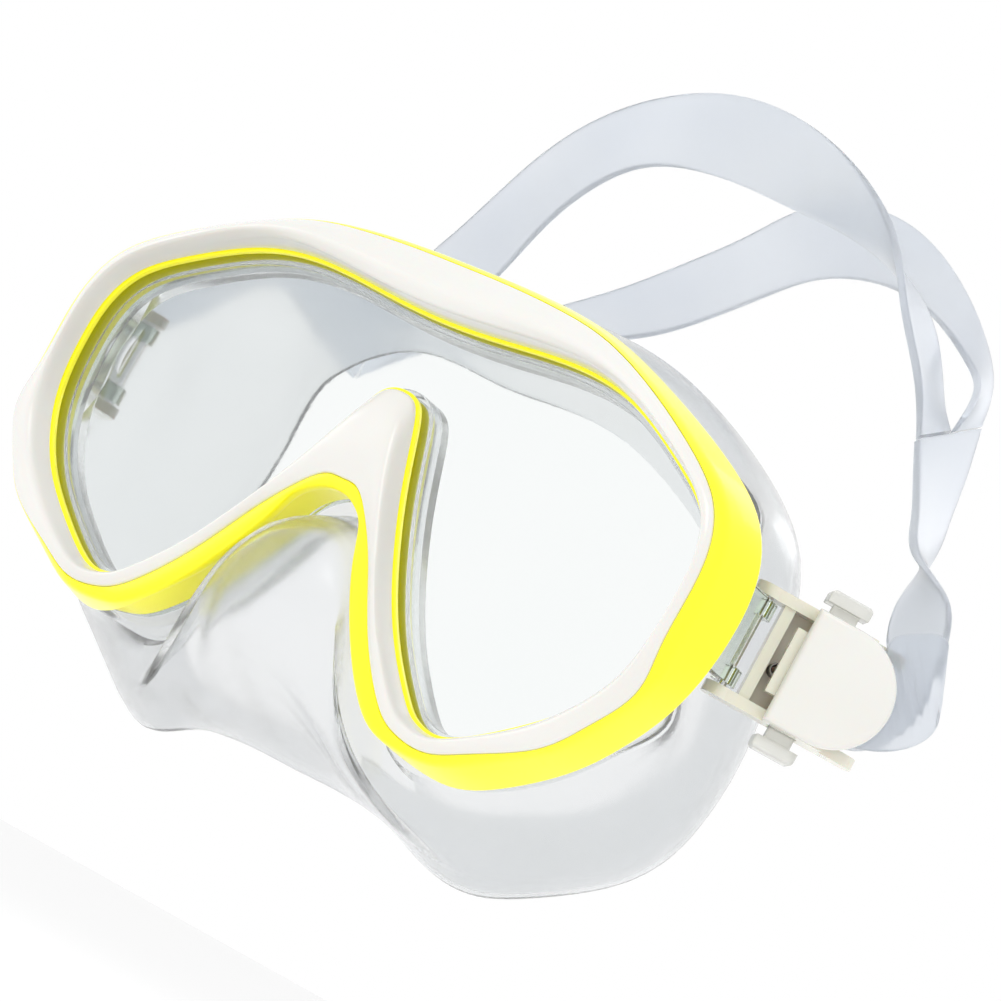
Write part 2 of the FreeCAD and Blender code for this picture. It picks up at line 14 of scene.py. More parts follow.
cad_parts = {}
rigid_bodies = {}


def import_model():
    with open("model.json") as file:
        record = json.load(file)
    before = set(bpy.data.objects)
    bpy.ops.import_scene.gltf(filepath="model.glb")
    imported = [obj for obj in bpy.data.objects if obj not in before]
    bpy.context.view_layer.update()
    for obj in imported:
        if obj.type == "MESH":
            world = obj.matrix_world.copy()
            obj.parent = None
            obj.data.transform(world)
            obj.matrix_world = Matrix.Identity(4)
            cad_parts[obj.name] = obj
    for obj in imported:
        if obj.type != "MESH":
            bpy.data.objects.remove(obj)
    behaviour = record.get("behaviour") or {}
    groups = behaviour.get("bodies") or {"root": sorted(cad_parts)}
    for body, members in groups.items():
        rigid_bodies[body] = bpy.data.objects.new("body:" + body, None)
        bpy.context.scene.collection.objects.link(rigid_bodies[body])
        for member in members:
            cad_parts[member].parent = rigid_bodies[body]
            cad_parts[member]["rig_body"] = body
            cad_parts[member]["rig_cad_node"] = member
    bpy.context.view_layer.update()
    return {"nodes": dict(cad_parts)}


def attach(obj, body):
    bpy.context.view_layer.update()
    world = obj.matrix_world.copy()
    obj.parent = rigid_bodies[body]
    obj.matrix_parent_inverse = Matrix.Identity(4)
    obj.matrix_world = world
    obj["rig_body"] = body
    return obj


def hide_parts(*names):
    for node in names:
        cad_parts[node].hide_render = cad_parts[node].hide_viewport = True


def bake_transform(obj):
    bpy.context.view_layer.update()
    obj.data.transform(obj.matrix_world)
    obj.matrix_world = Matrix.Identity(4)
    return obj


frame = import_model()

MM = 0.001
HALF = 22                  # stations from the top centre to the nose arch
AROUND = 2 * HALF
FINE = 6                   # columns between two stations

LENS_THICKNESS = 3.2
LENS_HOLD = 2.6
FIT_GAP = 0.15
RETAINER_FRONT = -1.4
SEAT_DEPTH = 4.45
SEAT_BACK = 6.2
COLLAR_FRONT = 8.5
SKIRT_WALL = 2.0
SEAL_WALL = 0.9
SKIRT_STEPS = 6            # rows between two outlines of the skirt
PIN = np.array((77.6, 20.2, -21.7))
BUCKLE_TURN = np.radians(35.0)
STRAP_THICKNESS = 1.7
STRAP_HALF_WIDTH = 8.2
STRAP_TURN = 3.2           # radius of the strap's middle round the roller
ROLLER = (22.5, -0.4)
STRAP_EDGE = 0.55          # radius of the strap's long edges
TAIL_ROUND = 2.4           # radius of the free end's corners
TAIL_BEAD = (1.4, 1.1, 0.45)   # the bead's place from the end, its spread, and its share of the thickness
RIDGES = (3.5, 46)         # where the ridges start and end, from the free end
RIDGE_PITCH = 1.9
RIDGE_HEIGHT = 0.22
RIDGED_STEP, PLAIN_STEP = 0.32, 0.9   # between rows of the strap
SHARP_EDGE = 38.0          # degrees between faces above which an edge is drawn sharp
FLOOR_SIZE = 9.0           # half width, in metres
FLOOR_DEPTH = -0.16        # below the camera, in metres

# ---------------------------------------------------------------- outlines, (station, x, z) or (station, x, y, z)
SIGHT_EDGE = [(0, 0, 7.5), (1, 12, 8.0), (2, 24, 9.0), (3, 36, 9.0), (4, 48, 6.2), (5, 60, 0.2), (6, 69.5, -6.5),
              (7, 73.8, -14.4), (8, 74.6, -23), (9, 73.6, -33), (10, 70.3, -42), (11, 64.9, -49.7),
              (12, 58, -55.8), (13, 50, -61.3), (14, 43.5, -64), (15, 38, -63.2), (16, 33.4, -60),
              (17, 25.2, -51.2), (18, 17.4, -39.4), (19, 10.7, -25.6), (20, 6.2, -13.8), (21, 3.4, -9.2),
              (22, 0, -8.3)]
FRAME_RIM = [(0, 0, 20.8), (1, 13, 20.6), (2, 26, 19.4), (3, 38, 16.6), (4, 52, 11.3), (5, 65, 5.3), (6, 76, -2),
             (7, 82, -11.5), (8, 83.4, -22), (9, 82.3, -32.5), (10, 79.3, -42), (11, 74, -51), (12, 67, -59),
             (13, 57, -66.3), (14, 46.5, -70.4), (15, 37, -69.8), (16, 29, -66.3), (17, 19, -55.3),
             (18, 11.5, -43), (19, 8.6, -35.8), (20, 5.6, -32.7), (21, 2.9, -31.4), (22, 0, -31)]
SKIRT_MIDDLE = [(0, 0, 19, 22), (3, 38, 20, 20), (5, 63, 22, 8), (6.3, 72, 22, -3), (8, 70.5, 20, -22),
                (9.7, 75, 24, -40), (11, 73.5, 26, -53), (13, 62, 26, -70), (14, 51, 25, -76),
                (15, 42, 22, -79), (16, 34, 16, -79), (17, 27, 8, -75), (18, 21, 0, -66), (19, 16, -5, -54),
                (20, 11, -7, -46), (21, 6, -8, -42.5), (22, 0, -8.5, -41.5)]
SKIRT_REAR = [(0, 0, 28, 21.5), (3, 38.5, 30, 19), (5, 62, 36, 8), (7, 72, 40, -9), (8, 72.5, 41, -22),
              (9, 74, 42, -34), (11, 73.5, 42, -54), (13, 64, 38, -72), (14, 53, 34, -79), (15, 43, 30, -83),
              (16, 33.5, 25, -82), (17, 26, 19, -79), (18, 20, 11, -76), (19, 15.5, 4, -71.5),
              (20, 11, -3, -67), (21, 6, -7, -64.5), (22, 0, -8.5, -64)]
SKIRT_FOLD = [(0, 0, 33, 17), (3, 36, 36, 16), (5, 57, 44, 6), (7, 66, 52, -9), (8, 68, 55, -22), (9, 69, 56, -34),
              (11, 69, 53, -53), (13, 62, 46, -70), (14, 52, 41, -78.5), (15, 42, 37, -83.5), (16, 33, 33, -83),
              (17, 26, 31, -80.5), (18, 20, 29.5, -79.5), (20, 10, 28, -79), (22, 0, 27.5, -79)]
SKIRT_SEAL = [(0, 0, 31, 6), (3, 28, 35, 6), (5, 46, 43, -2), (7, 54, 50, -13), (8, 56, 53, -23), (9, 57, 53, -34),
              (11, 56, 49, -50), (13, 49, 42, -62), (14, 41, 37.5, -67), (15, 33, 33, -70), (16, 27, 29, -71),
              (17, 22, 27, -71.5), (18, 17, 26, -71.5), (20, 8, 25, -71), (22, 0, 24.5, -71)]

# profiles along the outline, (station, value)
BEZEL_SHARE = [(0, 0.75), (3, 0.72), (5, 0.50), (7, 0.33), (8, 0.30), (9, 0.42), (10, 0.78), (12, 0.78),
               (13, 0.55), (15, 0.56), (17, 0.46), (18, 0.46), (19, 0.78), (20, 0.86), (22, 0.89)]
LIP_Y = [(0, -9.2), (3, -8.2), (5, -3.6), (6, -2.2), (20, -2.2), (22, -2.4)]
CREST_Y = [(0, -10.6), (3, -9.9), (5, -7.6), (6, -6.8), (14, -6.4), (18, -6.6), (22, -5.2)]
BROW_Y = [(0, -8.6), (3, -8.2), (5, -7.0), (6, -6.5), (14, -6.2), (22, -6.4)]
SHOULDER_SHARE = [(0, 0.35), (13, 0.35), (16, 1.0), (22, 1.0)]
SHOULDER_Y = [(0, -3.6), (13, -3.6), (16, -5.6), (22, -5.6)]
RIM_REAR_Y = [(0, 5.6), (14, 5.6), (16, -2.8), (22, -2.8)]
COLLAR_OUT = [(0, -0.8), (6, -0.8), (7, -8.2), (9, -8.2), (10, -0.8), (14, -0.8), (16, 0.6), (22, 0.6)]
COLLAR_CORNER = [(0, -1.6), (14, -1.6), (16, 2.0), (22, 2.0)]

# ---------------------------------------------------------------- strap routes, rungs of (centre), (half width)
UPPER_BAND = [((71.8, 58.6, 36), (0, -5.3, -2.9)), ((64.1, 65, 44), (1, -7.4, -1.5)),
              ((45.6, 73, 63.6), (2.2, -7.9, -2.3)), ((30.7, 73, 74.2), (5.1, -6, 1.3)),
              ((15.8, 69.5, 79.2), (3.2, -3.4, 6.5)), ((-3.3, 67, 81.3), (-0.8, -2, 8.6)),
              ((-15.4, 67, 79.7), (-3.1, -0.4, 8)), ((-32.7, 70, 72.9), (-6.2, 1.7, 5.9)),
              ((-48.5, 76, 58.3), (-7.4, 1.7, 4.2)), ((-58.6, 81.5, 43), (-8, 0.5, 2.6)),
              ((-68.5, 85.5, 29), (-4.5, 0, 6)), ((-73.7, 87.5, 24.5), (0, 0, 5.6))]
LOWER_BAND = [((72.1, 68.9, 41.8), (0, 4.7, 2.6)), ((67.9, 76, 51.6), (-2.3, 6.6, 2.9)),
              ((58.6, 85, 60.7), (-2.9, 6.5, 4.2)), ((35.3, 98, 75.3), (-2.8, 4.9, 6.8)),
              ((11.6, 109, 81.9), (-3, 0.8, 8.1)), ((-8.6, 116, 78), (-4.7, -0.5, 7.1)),
              ((-17.9, 118, 70.4), (-6.3, 1, 5.7)), ((-26.6, 117, 61.1), (-7.1, 0.9, 4.5)),
              ((-34.5, 113, 51.1), (-7.6, 1.2, 3.6)), ((-50, 106, 37), (-7.8, 0, 0)),
              ((-66, 97, 22), (-5.5, -0.5, -4)), ((-74.6, 87.5, 12.1), (0, 0, -5.7))]
NECK = [((94.3, 43.2, 2.1), (-6.6, 4.8, -1.2)), ((88.4, 46.5, 10.7), (-2.6, 8.1, 1.8))]
LEFT_ARM = NECK + [((83.8, 51, 18.4), (-1.2, 8.8, 2.6)), ((78.3, 57, 28), (-0.3, 9.5, 3.9)),
                   ((72.3, 63, 38.2), (0, 10.6, 5.8))]
RIGHT_ARM = [((-x, y, z), (-a, b, c)) for (x, y, z), (a, b, c) in NECK] + [
    ((-85, 57, 17.5), (1.5, 7.8, -3.5)), ((-81, 72, 19.5), (0.5, 3, -9.5)), ((-75, 87, 18), (0, 0, -11.9))]
# the free tail and the leg, in the buckle's axes
TAIL = [((34.6, 3.6, 12), (-2.8, 0, 7.2)), ((32, 3.6, 8.8), (-5.6, 0, 7.2)), ((29, 3.6, 5), (-6, 0, 7.8)),
        ((26.2, 3.6, 1.0), (-2.6, 0, 7.8))]
LEG = [((26.7, -3.9, 1.2), (-1.4, -0.6, 8.2)), ((29.5, -4.6, 7.2), (-4.3, -4.3, 5.6)),
       ((28.9, -5.8, 15.2), (-4.3, -6.6, 0.5))]


# ---------------------------------------------------------------- curves
def spline(knots, values, at, period=None):
    """The smooth cubic through the knots: its slopes solve the linear system that makes the curvature run on
    across every knot. With a period it closes on itself, and without one its ends are straight."""
    t, y = np.asarray(knots, float), np.asarray(values, float)
    if period:
        t, y = np.append(t, t[0] + period), np.vstack([y, y[:1]])
    count, h = len(t), np.diff(t)
    rise = np.diff(y, axis=0) / h[:, None]
    system, right = np.zeros((count, count)), np.zeros_like(y)
    i = np.arange(1, count - 1)
    system[i, i - 1], system[i, i], system[i, i + 1] = 1 / h[i - 1], 2 / h[i - 1] + 2 / h[i], 1 / h[i]
    right[i] = 3 * (rise[i - 1] / h[i - 1, None] + rise[i] / h[i, None])
    if period:
        system[0, 0], system[0, 1], system[0, -2] = 2 / h[-1] + 2 / h[0], 1 / h[0], 1 / h[-1]
        right[0] = 3 * (rise[-1] / h[-1] + rise[0] / h[0])
        system[-1, 0], system[-1, -1] = 1, -1
    else:
        system[0, :2], system[-1, -2:] = (2, 1), (1, 2)
        right[0], right[-1] = 3 * rise[0], 3 * rise[-1]
    slopes = np.linalg.solve(system, right)
    at = np.asarray(at, float)
    k = np.clip(np.searchsorted(t, at, "right") - 1, 0, count - 2)
    u, step = ((at - t[k]) / h[k])[:, None], h[k][:, None]
    return (y[k] * (2 * u**3 - 3 * u**2 + 1) + y[k + 1] * (3 * u**2 - 2 * u**3)
            + step * (slopes[k] * (u**3 - 2 * u**2 + u) + slopes[k + 1] * (u**3 - u**2)))


def outline(knots):
    """The 44 stations of the closed curve through the knots and their mirror images."""
    rows = np.array([k if len(k) == 4 else (k[0], k[1], 0.0, k[2]) for k in knots], float)
    stations = np.concatenate([rows[:, 0], AROUND - rows[-2:0:-1, 0]])
    points = np.concatenate([rows[:, 1:], rows[-2:0:-1, 1:] * (-1, 1, 1)])
    return spline(stations, points, np.arange(AROUND), AROUND)


def profile(knots):
    """One value per station, eased by 3u^2 - 2u^3 between the knots and mirrored past station 22."""
    station = np.minimum(np.arange(AROUND), AROUND - np.arange(AROUND))
    s, v = np.array(knots, float).T
    k = np.clip(np.searchsorted(s, station, "right") - 1, 0, len(s) - 2)
    u = (station - s[k]) / (s[k + 1] - s[k])
    return v[k] + (v[k + 1] - v[k]) * u * u * (3 - 2 * u)


def outward(points):
    """Unit normals in the XZ plane: the tangent between the two neighbours, turned a quarter."""
    t = np.roll(points, -1, 0) - np.roll(points, 1, 0)
    n = np.stack([-t[:, 2], np.zeros(len(t)), t[:, 0]], 1)
    return n / np.linalg.norm(n, axis=1, keepdims=True)


SIGHT, RIM = outline(SIGHT_EDGE), outline(FRAME_RIM)
SIGHT_OUT, RIM_OUT = outward(SIGHT), outward(RIM)
SHARE = profile(BEZEL_SHARE)


def at_height(points, y):
    """The same outline at depth y, one number or one per station."""
    moved = points.copy()
    moved[:, 1] = y
    return moved


def from_sight(distance, y):
    """The lens opening's edge moved outwards."""
    return at_height(SIGHT + SIGHT_OUT * distance, y)


def from_rim(distance, y):
    """The frame's rim moved outwards, one number or one per station."""
    return at_height(RIM + RIM_OUT * np.reshape(distance, (-1, 1)), y)


def between(share, y):
    """Points part of the way from the lens opening to the rim."""
    return at_height(SIGHT + (RIM - SIGHT) * np.reshape(share, (-1, 1)), y)


# ---------------------------------------------------------------- meshes
def add_mesh(name, points, quads, ends=()):
    """A mesh in metres from millimetre points, facing outwards: the sign of its enclosed volume decides."""
    tri = np.concatenate([quads[:, [0, 1, 2]], quads[:, [0, 2, 3]]])
    a, b, c = points[tri[:, 0]], points[tri[:, 1]], points[tri[:, 2]]
    flipped = np.einsum("ij,ij->i", a, np.cross(b, c)).sum() < 0
    faces = [tuple(q) for q in (quads[:, ::-1] if flipped else quads).tolist()]
    faces += [tuple(e[::-1]) if flipped else tuple(e) for e in ends]
    mesh = bpy.data.meshes.new(name)
    mesh.from_pydata((points * MM).tolist(), [], faces)
    mesh.update()
    mesh.shade_smooth()
    mesh.set_sharp_from_angle(angle=np.radians(SHARP_EDGE))
    piece = bpy.data.objects.new(name, mesh)
    bpy.context.scene.collection.objects.link(piece)
    return piece


def grid_quads(rows, columns, closed_rows):
    """Corner numbers of a grid whose columns wrap, and whose rows wrap too if closed."""
    i, j = np.meshgrid(np.arange(rows if closed_rows else rows - 1), np.arange(columns), indexing="ij")
    i, j = i.ravel(), j.ravel()
    down, right = (i + 1) % rows, (j + 1) % columns
    return np.stack([i * columns + j, i * columns + right, down * columns + right, down * columns + j], 1)


def rounded_section(loops, radii, steps=5):
    """Each corner of the closed section gives way to a parabola that touches both its sides at the corner's
    radius, or at 0.45 of the shorter side: P(u) = (1-u)^2 S + 2u(1-u) C + u^2 E."""
    loops = np.stack(loops)
    u = np.linspace(0, 1, steps)[:, None, None]
    rows = []
    for k, radius in enumerate(radii):
        corner, before, after = loops[k], loops[k - 1], loops[(k + 1) % len(loops)]
        if not radius:
            rows.append(corner[None])
            continue
        ends = []
        for other in (before, after):
            side = np.linalg.norm(other - corner, axis=1, keepdims=True)
            ends.append(corner + (other - corner) * np.minimum(0.45, radius / np.maximum(side, 1e-6)))
        rows.append((1 - u) ** 2 * ends[0] + 2 * u * (1 - u) * corner + u * u * ends[1])
    return np.concatenate(rows)


def shell_ring(name, loops, radii):
    """A closed ring: the section's rounded corners at 44 stations, each row made smooth all the way round."""
    rows = rounded_section(loops, radii)
    columns = np.arange(AROUND * FINE) / FINE
    flat = rows.transpose(1, 0, 2).reshape(AROUND, -1)
    fine = spline(np.arange(AROUND), flat, columns, AROUND).reshape(len(columns), len(rows), 3)
    points = fine.transpose(1, 0, 2).reshape(-1, 3)
    return add_mesh(name, points, grid_quads(len(rows), len(columns), True))


def softened_copy(node, width, segments=3):
    """The CAD node's triangles merged into one shell with its edges rounded by a narrow bevel."""
    source = frame["nodes"][node]
    mesh = source.data.copy()
    work = bmesh.new()
    work.from_mesh(mesh)
    bmesh.ops.remove_doubles(work, verts=work.verts, dist=2e-6)
    bmesh.ops.dissolve_limit(work, angle_limit=np.radians(2), verts=work.verts, edges=work.edges)
    work.to_mesh(mesh)
    work.free()
    mesh.materials.clear()
    piece = bpy.data.objects.new(node + "_soft", mesh)
    bpy.context.scene.collection.objects.link(piece)
    mesh.shade_smooth()
    mesh.set_sharp_from_angle(angle=np.radians(40))
    bevel = piece.modifiers.new("edges", "BEVEL")
    bevel.width, bevel.segments = width * MM, segments
    bevel.limit_method, bevel.angle_limit = "ANGLE", np.radians(35)
    bevel.harden_normals = True
    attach(piece, source["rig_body"])
    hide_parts(node)
    return piece


# ---------------------------------------------------------------- frame shells
def front_bezel():
    """The white front: a hump round the glass that swells into a brow at the top and a bridge on the nose."""
    seat, crest = RETAINER_FRONT - FIT_GAP, profile(CREST_Y)
    loops = [from_sight(0.0, seat), from_sight(0.15, profile(LIP_Y)), between(0.30 * SHARE, crest),
             between(0.70 * SHARE, profile(BROW_Y)), between(SHARE, -5.6), between(SHARE, -4.1),
             between(0.60 * SHARE, np.minimum(crest + 2.0, -3.6)), from_sight(1.5, seat)]
    return shell_ring("bezel_shell", loops, [0.15, 0.5, 2.6, 2.2, 0.35, 0.2, 0.4, 0.2])


def color_frame():
    """The yellow frame: a flared outer wall, its rolled rear rim, and the seat behind the skirt's lip."""
    width = np.linalg.norm(RIM - SIGHT, axis=1)
    start = SHARE + FIT_GAP / width
    shoulder = start + (1 - start) * profile(SHOULDER_SHARE)
    rear = profile(RIM_REAR_Y)
    loops = [between(start, -5.3), between(shoulder, profile(SHOULDER_Y)), from_rim(0.0, rear),
             from_rim(-1.5, rear + 0.4), from_rim(-1.6, SEAT_BACK), from_sight(-0.4, SEAT_BACK),
             from_sight(-0.4, SEAT_DEPTH), from_sight(3.9, SEAT_DEPTH), from_sight(3.9, RETAINER_FRONT),
             between(start, -3.7)]
    return shell_ring("frame_shell", loops, [0.25, 1.4, 0.7, 0.5, 0.3, 0.35, 0.35, 0.1, 0.1, 0.2])


def lens_retaining_ring():
    """The yellow ring in front of the glass, with a softened inner edge."""
    inner, outer = -0.6, LENS_HOLD + 1.0
    loops = [from_sight(inner, RETAINER_FRONT), from_sight(outer, RETAINER_FRONT),
             from_sight(outer, -0.1), from_sight(inner, -0.1)]
    return shell_ring("retaining_ring_shell", loops, [0.3, 0.1, 0.1, 0.2])


# ---------------------------------------------------------------- skirt
def eased_rows(stages):
    """Rows between the stages: each station runs along the cubic whose slope at a stage is half the step
    between its two neighbours."""
    last = len(stages) - 1
    rows = []
    for k in range(last):
        slope1 = (stages[k + 1] - stages[max(k - 1, 0)]) * (0.5 if k else 1.0)
        slope2 = (stages[min(k + 2, last)] - stages[k]) * (0.5 if k + 2 <= last else 1.0)
        for t in np.arange(SKIRT_STEPS) / SKIRT_STEPS:
            rows.append(stages[k] * (2 * t**3 - 3 * t**2 + 1) + slope1 * (t**3 - 2 * t**2 + t)
                        + stages[k + 1] * (3 * t**2 - 2 * t**3) + slope2 * (t**3 - t**2))
    return np.stack(rows + [stages[-1]])


def row_normals(rows):
    """Inward unit normals of a grid of rows: the step across the rows times the step along them."""
    along = np.roll(rows, -1, 1) - np.roll(rows, 1, 1)
    across = np.concatenate([rows[1:2] - rows[:1], rows[2:] - rows[:-2], rows[-1:] - rows[-2:-1]])
    normal = np.cross(across, along)
    return normal / np.linalg.norm(normal, axis=2, keepdims=True)


def silicone_skirt():
    """Lip round the glass, neck through the frame, collar, then a wall that thins to the feather edge."""
    collar = profile(COLLAR_OUT)
    corner = collar + profile(COLLAR_CORNER)
    outer = eased_rows([from_rim(collar, COLLAR_FRONT), outline(SKIRT_MIDDLE), outline(SKIRT_REAR),
                        outline(SKIRT_FOLD), outline(SKIRT_SEAL)])
    share = (np.arange(len(outer)) / (len(outer) - 1))[:, None, None]
    inner = (outer + row_normals(outer) * (SKIRT_WALL + (SEAL_WALL - SKIRT_WALL) * share**2))[2:]
    lip_out, lip_back, glass_back = LENS_HOLD + 1.05, SEAT_DEPTH - FIT_GAP, LENS_THICKNESS + FIT_GAP
    groove, neck_in, neck_out, collar_back = LENS_HOLD + FIT_GAP, -1.8, -0.7, COLLAR_FRONT + 2.1
    front = [from_sight(groove, 0.1), from_sight(groove, glass_back), from_sight(neck_in, glass_back),
             from_sight(neck_in, collar_back), from_rim(corner, collar_back)]
    back = [from_sight(neck_out, COLLAR_FRONT), from_sight(neck_out, lip_back), from_sight(lip_out, lip_back),
            from_sight(lip_out, 0.1)]
    loops = front + list(inner) + list(outer[::-1]) + back
    radii = [0.05, 0.1, 0.4, 0.8, 0.8] + [0] * (len(inner) - 1) + [0.3, 0.3] + [0] * (len(outer) - 2) + [0.6]
    return shell_ring("skirt_shell", loops, radii + [0.5, 0.3, 0.1, 0.05])


# ---------------------------------------------------------------- strap
def from_buckle(rungs, side):
    """Rungs in the buckle's axes (along, outwards, up the pin) taken to the mask, mirrored on the right."""
    c, s = np.cos(BUCKLE_TURN), np.sin(BUCKLE_TURN)
    turn = np.array([[c, s, 0], [s, -c, 0], [0, 0, 1]])
    mirror = np.array((side, 1, 1))
    return [((turn @ np.array(p) + PIN) * mirror, (turn @ np.array(h)) * mirror) for p, h in rungs]


def strap_band(name, route, tail_round=0.0, ridges=None):
    """A flat band through the rungs. Four smooth corner curves give the middle, the half width W and the half
    thickness T at every row, and the section is a rectangle 2W by 2T with rounded corners. The free end's
    corners are rounded by the circle W - r + sqrt(r^2 - (r - d)^2), with a bead where it stops, and ridges
    add the positive half of a sine along the run to both faces."""
    middle, half = (np.array([r[k] for r in route], float) for k in (0, 1))
    step = np.linalg.norm(np.diff(middle, axis=0), axis=1)
    travel = np.concatenate([[0.0], np.cumsum(step)])
    run = np.concatenate([middle[1:2] - middle[:1], middle[2:] - middle[:-2], middle[-1:] - middle[-2:-1]])
    thick = np.cross(run, half)
    thick *= STRAP_THICKNESS / 2 / np.linalg.norm(thick, axis=1, keepdims=True)
    corners = np.concatenate([middle + half + thick, middle + half - thick,
                              middle - half - thick, middle - half + thick], 1)
    row_step = RIDGED_STEP if ridges else PLAIN_STEP
    along = np.linspace(0, travel[-1], int(travel[-1] / row_step))
    if tail_round:
        near = tail_round * (1 - np.cos(np.linspace(0.12, np.pi / 2, 10)))
        along = np.concatenate([near, along[along > near[-1] + 0.1]])
    c = spline(travel, corners, along).reshape(-1, 4, 3)
    middle = c.mean(1)
    half = (c[:, 0] + c[:, 1] - c[:, 2] - c[:, 3]) / 4
    thick = (c[:, 0] - c[:, 1] - c[:, 2] + c[:, 3]) / 4
    width = np.linalg.norm(half, axis=1, keepdims=True)
    depth = np.linalg.norm(thick, axis=1, keepdims=True)
    edge = STRAP_EDGE
    angle = np.concatenate([np.linspace(q, q + np.pi / 2, 5) for q in np.arange(4) * np.pi / 2])
    sx, sy = np.repeat((1, -1, -1, 1), 5), np.repeat((1, 1, -1, -1), 5)
    reach = width
    if tail_round:
        left = np.clip(tail_round - along, 0, tail_round)[:, None]
        reach = width - tail_round + np.sqrt(tail_round**2 - left**2)
        place, spread, share = TAIL_BEAD
        depth = depth * (1 + share * np.exp(-((along[:, None] - place) / spread) ** 2))
    a = sx * (reach - edge) + edge * np.cos(angle)
    b = sy * (depth - edge) + edge * np.sin(angle)
    flat = np.linspace(0.86, -0.86, 7)
    top_a, bottom_a = flat * (reach - edge), -flat * (reach - edge)
    top_b, bottom_b = np.repeat(depth, 7, 1), -np.repeat(depth, 7, 1)
    if ridges:
        start, end = ridges
        inside = np.clip((along - start) / 2, 0, 1) * np.clip((end - along) / 2, 0, 1)
        wave = RIDGE_HEIGHT * inside * np.maximum(0, np.sin(2 * np.pi * along / RIDGE_PITCH))
        across = np.array((0, 1, 1, 1, 1, 1, 0))
        top_b, bottom_b = top_b + wave[:, None] * across, bottom_b - wave[:, None] * across
    a = np.concatenate([a[:, :5], top_a, a[:, 5:15], bottom_a, a[:, 15:]], 1)
    b = np.concatenate([b[:, :5], top_b, b[:, 5:15], bottom_b, b[:, 15:]], 1)
    h = half / width
    t = thick / np.linalg.norm(thick, axis=1, keepdims=True)
    points = middle[:, None] + h[:, None] * a[..., None] + t[:, None] * b[..., None]
    rows, columns = a.shape
    first, final = list(range(columns)), list(range((rows - 1) * columns, rows * columns))
    return add_mesh(name, points.reshape(-1, 3), grid_quads(rows, columns, False), [first, final[::-1]])


def side_strap(name, side, arm):
    """The whole side run: free tail, the turn round the roller, the leg, the twist and the arm to the split."""
    angles = np.radians(np.arange(0, 181, 30))
    turn = [((ROLLER[0] - STRAP_TURN * np.sin(q), ROLLER[1] + STRAP_TURN * np.cos(q), 0),
             (0, 0, STRAP_HALF_WIDTH)) for q in angles]
    route = from_buckle(TAIL + turn + LEG, side) + arm
    piece = strap_band(name + "_strap_run", route, tail_round=TAIL_ROUND, ridges=RIDGES)
    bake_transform(piece)
    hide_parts(name + "_strap_arm", name + "_strap_end")
    return piece


# ---------------------------------------------------------------- materials
def new_material(name):
    """A material with its nodes, its links and its Principled shader."""
    material = bpy.data.materials.new(name)
    material.use_nodes = True
    tree = material.node_tree
    return material, tree.nodes, tree.links, tree.nodes["Principled BSDF"]


def add_grain(nodes, links, shader, scale, height, spread, base):
    """Fine bump from noise, and roughness that wanders a little around its base value."""
    where = nodes.new("ShaderNodeTexCoord")
    grain = nodes.new("ShaderNodeTexNoise")
    grain.inputs["Scale"].default_value = scale
    grain.inputs["Detail"].default_value = 4
    bump = nodes.new("ShaderNodeBump")
    bump.inputs["Strength"].default_value = 0.25
    bump.inputs["Distance"].default_value = height * MM
    wander = nodes.new("ShaderNodeMapRange")
    wander.inputs["To Min"].default_value, wander.inputs["To Max"].default_value = base - spread, base + spread
    links.new(where.outputs["Object"], grain.inputs["Vector"])
    links.new(grain.outputs["Fac"], bump.inputs["Height"])
    links.new(grain.outputs["Fac"], wander.inputs["Value"])
    links.new(bump.outputs["Normal"], shader.inputs["Normal"])
    links.new(wander.outputs["Result"], shader.inputs["Roughness"])
    return grain


def tinted(nodes, links, shader, low, high, scale):
    """Slow drift of the colour between two close shades, as in a thick moulding."""
    where = nodes.new("ShaderNodeTexCoord")
    drift = nodes.new("ShaderNodeTexNoise")
    drift.inputs["Scale"].default_value = scale
    shades = nodes.new("ShaderNodeValToRGB")
    shades.color_ramp.elements[0].position, shades.color_ramp.elements[1].position = 0.3, 0.7
    shades.color_ramp.elements[0].color = (*low, 1)
    shades.color_ramp.elements[1].color = (*high, 1)
    links.new(where.outputs["Object"], drift.inputs["Vector"])
    links.new(drift.outputs["Fac"], shades.inputs["Fac"])
    links.new(shades.outputs["Color"], shader.inputs["Base Color"])


def moulded_plastic(name, low, high, roughness, painted_glow=0.0):
    """Glossy injection-moulded plastic: slight orange peel, a little light scattered inside. The glow is
    painted light: emission in the lighter shade that brightens the plastic where it lies in shade."""
    material, nodes, links, shader = new_material(name)
    tinted(nodes, links, shader, low, high, 30)
    add_grain(nodes, links, shader, 900, 0.02, 0.04, roughness)
    shader.inputs["Subsurface Weight"].default_value = 0.15
    shader.inputs["Subsurface Scale"].default_value = 0.002
    shader.inputs["Coat Weight"].default_value = 0.4
    shader.inputs["Coat Roughness"].default_value = 0.08
    # painted light: the surface emits its own lighter shade to lift its shaded edges
    if painted_glow:
        shader.inputs["Emission Color"].default_value = (*high, 1)
        shader.inputs["Emission Strength"].default_value = painted_glow
    return material


def clear_moulding(name, low, high, roughness, ior, clarity):
    """Clear silicone, plastic or glass: light passes with a faint tint at each wall."""
    material, nodes, links, shader = new_material(name)
    tinted(nodes, links, shader, low, high, 25)
    add_grain(nodes, links, shader, 500, 0.02, 0.03, roughness)
    shader.inputs["IOR"].default_value = ior
    shader.inputs["Transmission Weight"].default_value = clarity
    return material


def metal(name, color, roughness):
    """Drawn wire or rod: bright metal with fine scratches."""
    material, nodes, links, shader = new_material(name)
    shader.inputs["Metallic"].default_value = 1.0
    shader.inputs["Base Color"].default_value = (*color, 1)
    add_grain(nodes, links, shader, 2500, 0.01, 0.05, roughness)
    return material


